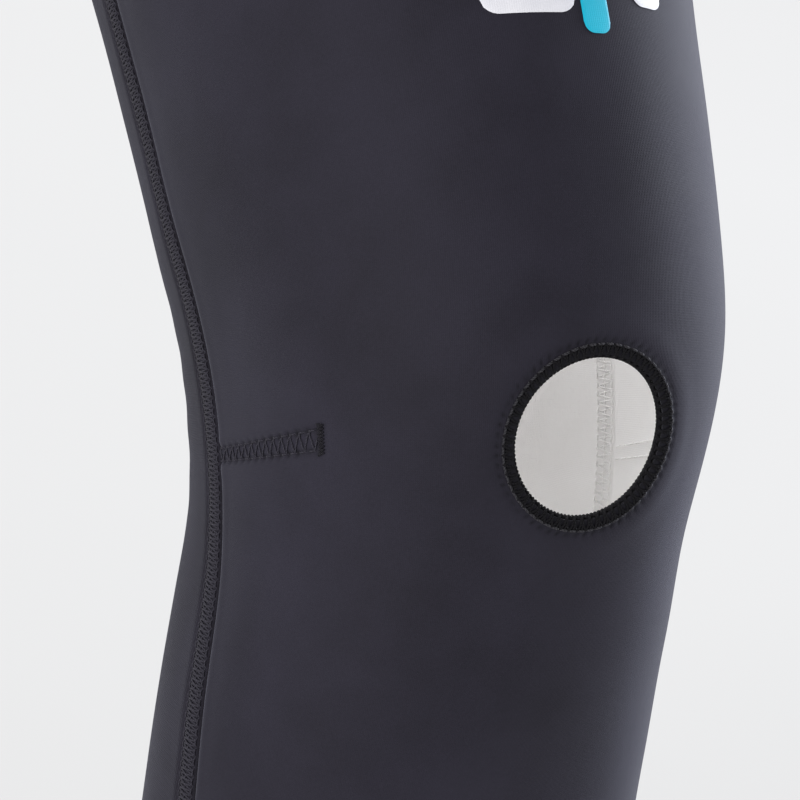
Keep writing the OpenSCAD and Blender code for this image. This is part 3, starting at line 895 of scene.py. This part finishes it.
def dart_row(place, side, sign):
    t = np.linspace(0, dart_stitch_count, dart_stitch_count * 10 + 1)
    along = DART_START + t * DART_STITCH
    dip = np.abs(np.cos(math.pi * t)) ** 5
    return dart_path(place, side, along, sign * dart_half_gap(along), 0.24 * MM - 0.55 * MM * dip)


def dart_cover(place, side):
    t = np.linspace(0, dart_stitch_count, dart_stitch_count * 24 + 1)
    along = DART_START + t * DART_STITCH
    swing = 2 * triangle(t + 0.25) - 1
    lift = 0.2 * MM - 0.3 * MM * np.abs(swing) ** 8
    return dart_path(place, side, along, swing * dart_half_gap(along), lift)


def dart_tack_path(side):
    """A short dense zigzag across the dart's closed end."""
    turns = 9
    t = np.linspace(0, turns, turns * 14 + 1)
    across = (t / turns - 0.5) * 5.6 * MM
    swing = triangle(t)
    along = dart_last + (0.1 + 1.6 * swing) * MM
    lift = 0.28 * MM + 0.1 * MM * np.sin(math.pi * swing) - 0.2 * MM * np.cos(math.pi * swing) ** 6
    return dart_path(over, side, along, across, lift)


def dart(name, side):
    rows = tubes(f"{name}_dart_thread",
                 [dart_row(over, side, 1), dart_row(over, side, -1), dart_cover(over, side)],
                 [THREAD_R] * 3, seam_thread, flat=0.8)
    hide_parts(f"{name}_dart_stitches")
    tack = tubes(f"{name}_dart_tack_thread", [dart_tack_path(side)], [THREAD_R * 0.95], tack_thread)
    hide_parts(f"{name}_dart_tack")
    inner = tubes(f"{name}_dart_inner_thread", [dart_row(under, side, 1), dart_row(under, side, -1)],
                  [THREAD_R] * 2, lining_thread, flat=0.8)
    return [rows, tack, inner]


# What the overlock threads add to the cut edge all round, their bend's radius, and the share of each
# thread that lies flat on each side of the wall
COVER_LIFT = 0.28 * MM
COVER_BEND = 1.6 * MM
COVER_FLAT = 0.34
COVER_THREAD_R = 0.29 * MM
LOOPER_THREAD_R = 0.36 * MM
NEEDLE_THREAD_R = 0.26 * MM


def wall_profile(theta):
    """Section round the opening's cut edge: distance from its centre, and depth, at theta from 0 to 1."""
    top, bottom = -RIM_SINK, -WALL_T + RIM_RISE
    half = (top - bottom) / 2 + COVER_LIFT
    bend_r = OPENING_R + 0.25 * MM + COVER_BEND
    angle = math.pi * np.clip((theta - COVER_FLAT) / (1 - 2 * COVER_FLAT), 0, 1)
    before = np.clip(1 - theta / COVER_FLAT, 0, 1)
    after = np.clip(1 - (1 - theta) / COVER_FLAT, 0, 1)
    r = bend_r - COVER_BEND * np.sin(angle) + (RING_NEEDLE_R - bend_r) * (before + after)
    return r, (top + bottom) / 2 + half * np.cos(angle)


def ring_stitch_path(k, slant):
    """One thread over the opening's edge, from the outside's needle hole to the inside's."""
    theta = np.linspace(0, 1, 25)
    end = np.minimum(theta, 1 - theta)
    r, d = wall_profile(theta)
    angle = (k + slant * end) * 2 * math.pi / RING_STITCHES
    u, s = place_near_opening(r * np.cos(angle), r * np.sin(angle), d)
    reach = smooth(r, OPENING_R + 0.5 * MM, OPENING_R + 2.6 * MM)
    outside = outer_give(u, s) + COVER_LIFT
    inside = -WALL_T - inner_give(u, s) - COVER_LIFT
    on_top = theta < 0.5
    depth = np.where(on_top, d + (outside - d) * reach, d + (inside - d) * reach)
    depth += np.where(on_top, -1, 1) * 0.55 * MM * bell(end, 0.03)
    path = leg(u, s, depth)
    # The thread's outer side turns from the wall's outside to the opening's middle and on to the inside
    outward = outwards(u, s)
    outward /= np.linalg.norm(outward, axis=1)[:, None]
    radial = opening_centre - path
    radial -= (radial * outward).sum(1)[:, None] * outward
    radial /= np.linalg.norm(radial, axis=1)[:, None]
    tilt = math.pi * np.clip((theta - 0.3) / 0.4, 0, 1)
    return path, np.cos(tilt)[:, None] * outward + np.sin(tilt)[:, None] * radial


def round_path(radius, d, waves, swing_r, swing_d):
    """A thread round the opening that swings in and out, waves times."""
    angle = np.linspace(0, 2 * math.pi, waves * 12 + 1)
    r = radius + swing_r * np.cos(waves * angle)
    depth = d + swing_d * np.sin(waves * angle)
    u, s = place_near_opening(r * np.cos(angle), r * np.sin(angle), depth)
    return leg(u, s, depth), outwards(u, s)


def opening_threads():
    paths = []
    for k in range(RING_STITCHES):
        paths.append(ring_stitch_path(k, 1.0))
        paths.append(ring_stitch_path(k, -1.0))
        paths.append(ring_stitch_path(k + 0.5, 0.3))
    cover = tubes("opening_overlock", paths, [COVER_THREAD_R] * len(paths), ring_thread, flat=0.85)
    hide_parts("opening_thread_ring")

    # The two looper threads twist round each other along the cut edge
    edge = [round_path(OPENING_R + 0.35 * MM, -1.6 * MM, RING_STITCHES, swing * 0.22 * MM, swing * 0.45 * MM)
            for swing in (1, -1)]
    purl = tubes("opening_edge_thread", edge, [LOOPER_THREAD_R] * 2, ring_thread)

    # The needle thread lies along the outer ends of the cover threads, and dips at each needle hole
    angle = np.linspace(0, 2 * math.pi, RING_STITCHES * 12 + 1)
    x, v = RING_NEEDLE_R * np.cos(angle), RING_NEEDLE_R * np.sin(angle)
    u, s = place_near_opening(x, v, 0)
    dip = np.abs(np.cos(RING_STITCHES * angle / 2)) ** 4
    needle = tubes("opening_needle_thread", [surface_path(over, u, s, 0.42 * MM - 0.6 * MM * dip)],
                   [NEEDLE_THREAD_R], needle_thread, flat=0.9)
    return [cover, purl, needle]


threads = [*side_seam("left", -1), *side_seam("right", 1), *dart("left", -1), *dart("right", 1),
           *opening_threads()]


# ---- Hems ----

HEM_COLUMNS = 240
HEM_STITCHES = 150
# Distances of the two needle rows from the hem's edge
HEM_ROWS = (8.1 * MM, 10.5 * MM)
# Depths of the tape's sides that lie on the wall
TAPE_OUTER = TRIM_GAP - 0.30 * MM
TAPE_INNER = -WALL_T - 0.15 * MM
# Where the tape's roll at the hem's edge begins, and the tape's radius round the leg for its weave
ROLL_H = 3.2 * MM
TAPE_ROUND = 58 * MM


def hem_place(h, top):
    return LENGTH - h if top else h


def binding_section():
    """[distance from the hem's edge, depth] round the folded tape, with a soft roll at its fold."""
    outer, inner, t = TAPE_OUTER, TAPE_INNER, BINDING_T
    centre_d = (outer + inner) / 2
    half = (outer - inner) / 2
    points = []
    for h in np.linspace(BINDING_W, ROLL_H, 12):
        puff = 0.16 * MM * math.sin(math.pi * h / (BINDING_W - 2 * MM)) ** 2
        points.append((h, outer + t + puff))
    for a in np.linspace(0, math.pi, 13)[1:-1]:
        points.append((3.0 * MM * (1 - math.sin(a)), centre_d + (half + t) * math.cos(a)))
    for h in np.linspace(ROLL_H, BINDING_W, 12):
        points.append((h, inner - t))
    points.append((BINDING_W + 0.15 * MM, inner - t / 2))
    for h in np.linspace(BINDING_W, ROLL_H, 8):
        points.append((h, inner))
    for a in np.linspace(math.pi, 0, 11)[1:-1]:
        points.append((t + 2.2 * MM * (1 - math.sin(a)), centre_d + half * math.cos(a)))
    for h in np.linspace(ROLL_H, BINDING_W, 8):
        points.append((h, outer))
    points.append((BINDING_W + 0.15 * MM, outer + t / 2))
    return np.array(points)


def make_binding(name, top):
    section = binding_section()
    turn = np.linspace(0, 2 * math.pi, HEM_COLUMNS, endpoint=False)
    u, h = np.meshgrid(turn, section[:, 0], indexing="ij")
    d = np.broadcast_to(section[:, 1], u.shape)
    # Stitching pulls the tape in, and each stitch a little more
    pull = 0.22 * MM * (bell(h - HEM_ROWS[0], 0.8 * MM) + bell(h - HEM_ROWS[1], 0.6 * MM))
    s = hem_place(h, top)
    ripple = 1 + 0.35 * np.cos(u * HEM_STITCHES)
    d = np.where(d > -WALL_T / 2, d - pull * ripple, d + pull)
    points = leg(u, s, d).reshape(-1, 3)
    # The bottom hem's tape is the top one's mirror image, so its quads turn the other way
    quads = grid_quads(*u.shape, True, True)
    quads = quads if top else turned_over(quads)
    around = np.concatenate([[0], np.cumsum(np.hypot(*np.diff(section, axis=0).T))])
    uv = np.stack([u * TAPE_ROUND, np.broadcast_to(around, u.shape)], -1).reshape(-1, 2)
    piece = make_piece(name, points, quads, binding_tape, uv)
    return piece


def hem_stitches(name, top):
    """Cover stitch: two needle rows outside, and a looper zigzag inside."""
    t = np.linspace(0, 2 * math.pi, HEM_STITCHES * 8 + 1)
    dip = np.abs(np.cos(HEM_STITCHES * t / 2)) ** 5
    depth = TAPE_OUTER + BINDING_T + 0.12 * MM - 0.35 * MM * dip
    paths = []
    for h in HEM_ROWS:
        s = hem_place(h, top)
        paths.append((leg(t, s, depth), outwards(t, s)))
    t = np.linspace(0, 2 * math.pi, HEM_STITCHES * 12 + 1)
    swing = triangle(HEM_STITCHES * t / (2 * math.pi))
    s = hem_place(HEM_ROWS[0] + (HEM_ROWS[1] - HEM_ROWS[0]) * swing, top)
    paths.append((leg(t, s, TAPE_INNER - BINDING_T - 0.15 * MM), outwards(t, s)))
    return tubes(name, paths, [THREAD_R] * 3, seam_thread)


bottom_binding = make_binding("bottom_hem_binding", False)
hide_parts("bottom_binding")
top_binding = make_binding("top_hem_binding", True)
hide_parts("top_binding")
bottom_stitches = hem_stitches("bottom_hem_thread", False)
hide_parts("bottom_hem_stitches")
top_stitches = hem_stitches("top_hem_thread", True)
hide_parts("top_hem_stitches")


# ---- Emblem and label ----

FILM_T = 0.2 * MM


def film_bar(name, low_x, high_x, low_s, high_s, corner, material):
    """An upright bar of pressed film with round corners, between two lengths across and two along."""
    columns, rows = 25, 61
    half = (high_x - low_x) / 2
    f = np.linspace(-1, 1, columns)
    corner = min(corner, half)
    edge = np.maximum(np.abs(f) * half - (half - corner), 0)
    drop = corner - np.sqrt(np.maximum(corner ** 2 - edge ** 2, 0))
    g = np.linspace(0, 1, rows)
    x = (low_x + high_x) / 2 + (half * f)[:, None]
    s = (low_s + drop)[:, None] + (high_s - low_s - 2 * drop)[:, None] * g
    u = x / leg_radius(0, s)
    rim = np.minimum(1 - np.abs(f)[:, None], 2 * np.minimum(g, 1 - g))
    soft = np.sqrt(np.clip(rim / 0.12, 0, 1))
    base = TRIM_GAP * 0.4
    outer = over(u, s, base + FILM_T * (0.35 + 0.65 * soft)).reshape(-1, 3)
    inner = over(u, s, base).reshape(-1, 3)
    points, faces, on_rim = close_sheet(outer, inner, grid_quads(columns, rows))
    uv = panel_uv(u.ravel(), s.ravel())
    piece = make_piece(name, points, faces, material, np.concatenate([uv, uv]), sharp=on_rim)
    return piece


EMBLEM_S = KNEE_S + 60 * MM
films = [
    film_bar("emblem_left_film", -22.0 * MM, 1.0 * MM, EMBLEM_S + 4.5 * MM,
             EMBLEM_S + 29 * MM, 4.5 * MM, pale_film),
    film_bar("emblem_middle_film", 2.0 * MM, 9.0 * MM, EMBLEM_S,
             EMBLEM_S + 32 * MM, 2.6 * MM, blue_film),
    film_bar("emblem_right_film", 17.0 * MM, 27.0 * MM, EMBLEM_S + 7.5 * MM,
             EMBLEM_S + 29 * MM, 3.2 * MM, pale_film),
]
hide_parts("emblem_pale_film")
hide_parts("emblem_blue_film")

LABEL_W = 26 * MM
LABEL_LENGTH = 30 * MM
LABEL_T = 0.25 * MM


def care_label():
    """A blank satin label inside the back, its lower end caught by the hem's tape."""
    low = BINDING_W + 0.6 * MM
    high = low + LABEL_LENGTH
    half = LABEL_W / 2
    x, s = np.meshgrid(np.linspace(-half, half, 31), np.linspace(low, high, 33), indexing="ij")
    u = math.pi + x / leg_radius(math.pi, s)
    free = smooth(s, low, high)
    curl = 0.9 * MM * free * (0.35 + 0.65 * (x / half) ** 2) + 0.25 * MM * free * np.sin(x / half * 2.2 + 1)
    lift = LABEL_T + curl
    outer = under(u, s, lift).reshape(-1, 3)
    inner = under(u, s, lift + LABEL_T).reshape(-1, 3)
    points, faces, on_rim = close_sheet(outer, inner, grid_quads(31, 33))
    uv = np.stack([x.ravel(), s.ravel()], -1)
    piece = make_piece("care_label_blank", points, faces, label_tape, np.concatenate([uv, uv]), sharp=on_rim)
    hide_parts("care_label")
    return piece


label = care_label()

# ---- What moves with what ----

for piece in (front_face, front_foam, front_lining, back_face, back_foam, back_lining, *threads, *films):
    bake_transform(piece)
for piece in (bottom_binding, bottom_stitches, label):
    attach(piece, CALF)
for piece in (top_binding, top_stitches):
    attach(piece, THIGH)

# ---- Flat sizes of the face and lining sheets, and the length round each hem ----


def cut_size(half_angle, middle, d):
    """Greatest width, length and area of a panel laid flat."""
    s = np.linspace(PANEL_END, LENGTH - PANEL_END, 200)
    f = np.linspace(-1, 1, 120)
    u = middle + f[:, None] * half_angle(s)[None, :]
    grid = leg(u, np.broadcast_to(s, u.shape), d)
    across = np.linalg.norm(np.diff(grid, axis=0), axis=2)
    along = np.linalg.norm(np.diff(grid, axis=1), axis=2)
    area = (across[:, 1:] * (along[1:] + along[:-1]) / 2).sum()
    return across.sum(0).max(), along.sum(1).max(), area


def back_angle(s):
    return math.pi - seam_angle(s)


for panel, half_angle, middle in (("front", seam_angle, 0), ("back", back_angle, math.pi)):
    for layer, d in (("face", 0), ("lining", -WALL_T)):
        width, length, area = cut_size(half_angle, middle, d)
        if panel == "front":
            area -= math.pi * OPENING_R ** 2
for piece, h in ((bottom_binding, 0), (top_binding, LENGTH)):
    turn = np.linspace(0, 2 * math.pi, 200)
    round_hem = np.linalg.norm(np.diff(leg(turn, h, 0), axis=0), axis=1).sum()

# ---- Floor, lights and camera ----


def aim(obj, at):
    obj.rotation_euler = (Vector(at) - obj.location).to_track_quat("-Z", "Y").to_euler()


def area_light(name, location, at, size, power, colour):
    data = bpy.data.lights.new(name, "AREA")
    data.shape = "DISK"
    data.size = size
    data.energy = power
    data.color = colour
    light = bpy.data.objects.new(name, data)
    bpy.context.scene.collection.objects.link(light)
    light.location = location
    light.visible_camera = False
    aim(light, at)


# The floor's own light stands in for a studio's white sweep
FLOOR_GLOW = 0.625
FLOOR_R = 4.5
FLOOR_BEND = 1.5
WALL_HEIGHT = 5.0
FLOOR_GREY = (0.115, 0.125)


def make_floor():
    """A pale floor that curves up into a wall all round."""
    shade = Shade("floor", 0.95, Specular_IOR_Level=0.0)
    dark, light = ((grey,) * 3 for grey in FLOOR_GREY)
    shade.colour(shade.ramp(shade.noise(3, 2), [(0.2, dark), (0.8, light)]))
    shade.shader.inputs["Emission Color"].default_value = (1, 1, 1, 1)
    shade.shader.inputs["Emission Strength"].default_value = FLOOR_GLOW
    bend = np.linspace(0, math.pi / 2, 13)
    flat = np.array([0.001, 0.5, 1, 2, 3, 4])
    r = np.concatenate([flat, FLOOR_R + FLOOR_BEND * np.sin(bend), [FLOOR_R + FLOOR_BEND]])
    z = np.concatenate([0 * flat, FLOOR_BEND * (1 - np.cos(bend)), [WALL_HEIGHT]])
    turn = np.linspace(0, 2 * math.pi, 96, endpoint=False)
    points = np.stack([np.cos(turn)[:, None] * r, np.sin(turn)[:, None] * r, 0 * turn[:, None] + z], -1)
    quads = turned_over(grid_quads(len(turn), len(r), True))
    floor = make_piece("floor", points.reshape(-1, 3), quads, shade.material)
    floor.location.z = cad_low.z - 0.5 * MM


make_floor()
# The knee's place inside the sleeve, which the lights and the camera are set round
knee = Vector((0, 0.00654, 0.14331))
area_light("key", (-1.50, -0.75, 0.55), knee, 0.6, 19, (1.0, 0.985, 0.97))
area_light("rim", (1.55, 0.20, 0.50), knee, 0.9, 33, (0.84, 0.88, 1.0))
area_light("overhead", (0.0, 1.30, 1.70), knee, 0.6, 40, (0.98, 0.99, 1.0))

world = bpy.data.worlds.new("studio")
bpy.context.scene.world = world
world.use_nodes = True
world.node_tree.nodes["Background"].inputs["Color"].default_value = (0.92, 0.93, 0.95, 1)
world.node_tree.nodes["Background"].inputs["Strength"].default_value = 0.46
bpy.context.scene.view_settings.view_transform = "Standard"

# The camera stands to the knee's front left and a little above. The picture's right and up are turned
# a little from level, and the knee lies a little off its middle.
AZIMUTH = math.radians(-31.86)
ELEVATION = math.radians(15.84)
DISTANCE = 1.5
RIGHT = Vector((0.861, -0.482, 0.161))
UP = Vector((0, 0.317, 0.949))
KNEE_OFF_RIGHT = 9.72 * MM
KNEE_OFF_DOWN = 0.72 * MM
toward = Vector((math.sin(AZIMUTH) * math.cos(ELEVATION), -math.cos(AZIMUTH) * math.cos(ELEVATION),
                 math.sin(ELEVATION)))
camera_data = bpy.data.cameras.new("camera")
camera_data.lens = 303
camera_data.sensor_width = 36
camera_data.dof.use_dof = False
camera = bpy.data.objects.new("camera", camera_data)
bpy.context.scene.collection.objects.link(camera)
camera.location = knee - RIGHT * KNEE_OFF_RIGHT + UP * KNEE_OFF_DOWN + toward * DISTANCE
z_axis = toward.normalized()
x_axis = (RIGHT - z_axis * RIGHT.dot(z_axis)).normalized()
camera.rotation_euler = Matrix((x_axis, z_axis.cross(x_axis), z_axis)).transposed().to_euler()
bpy.context.scene.camera = camera
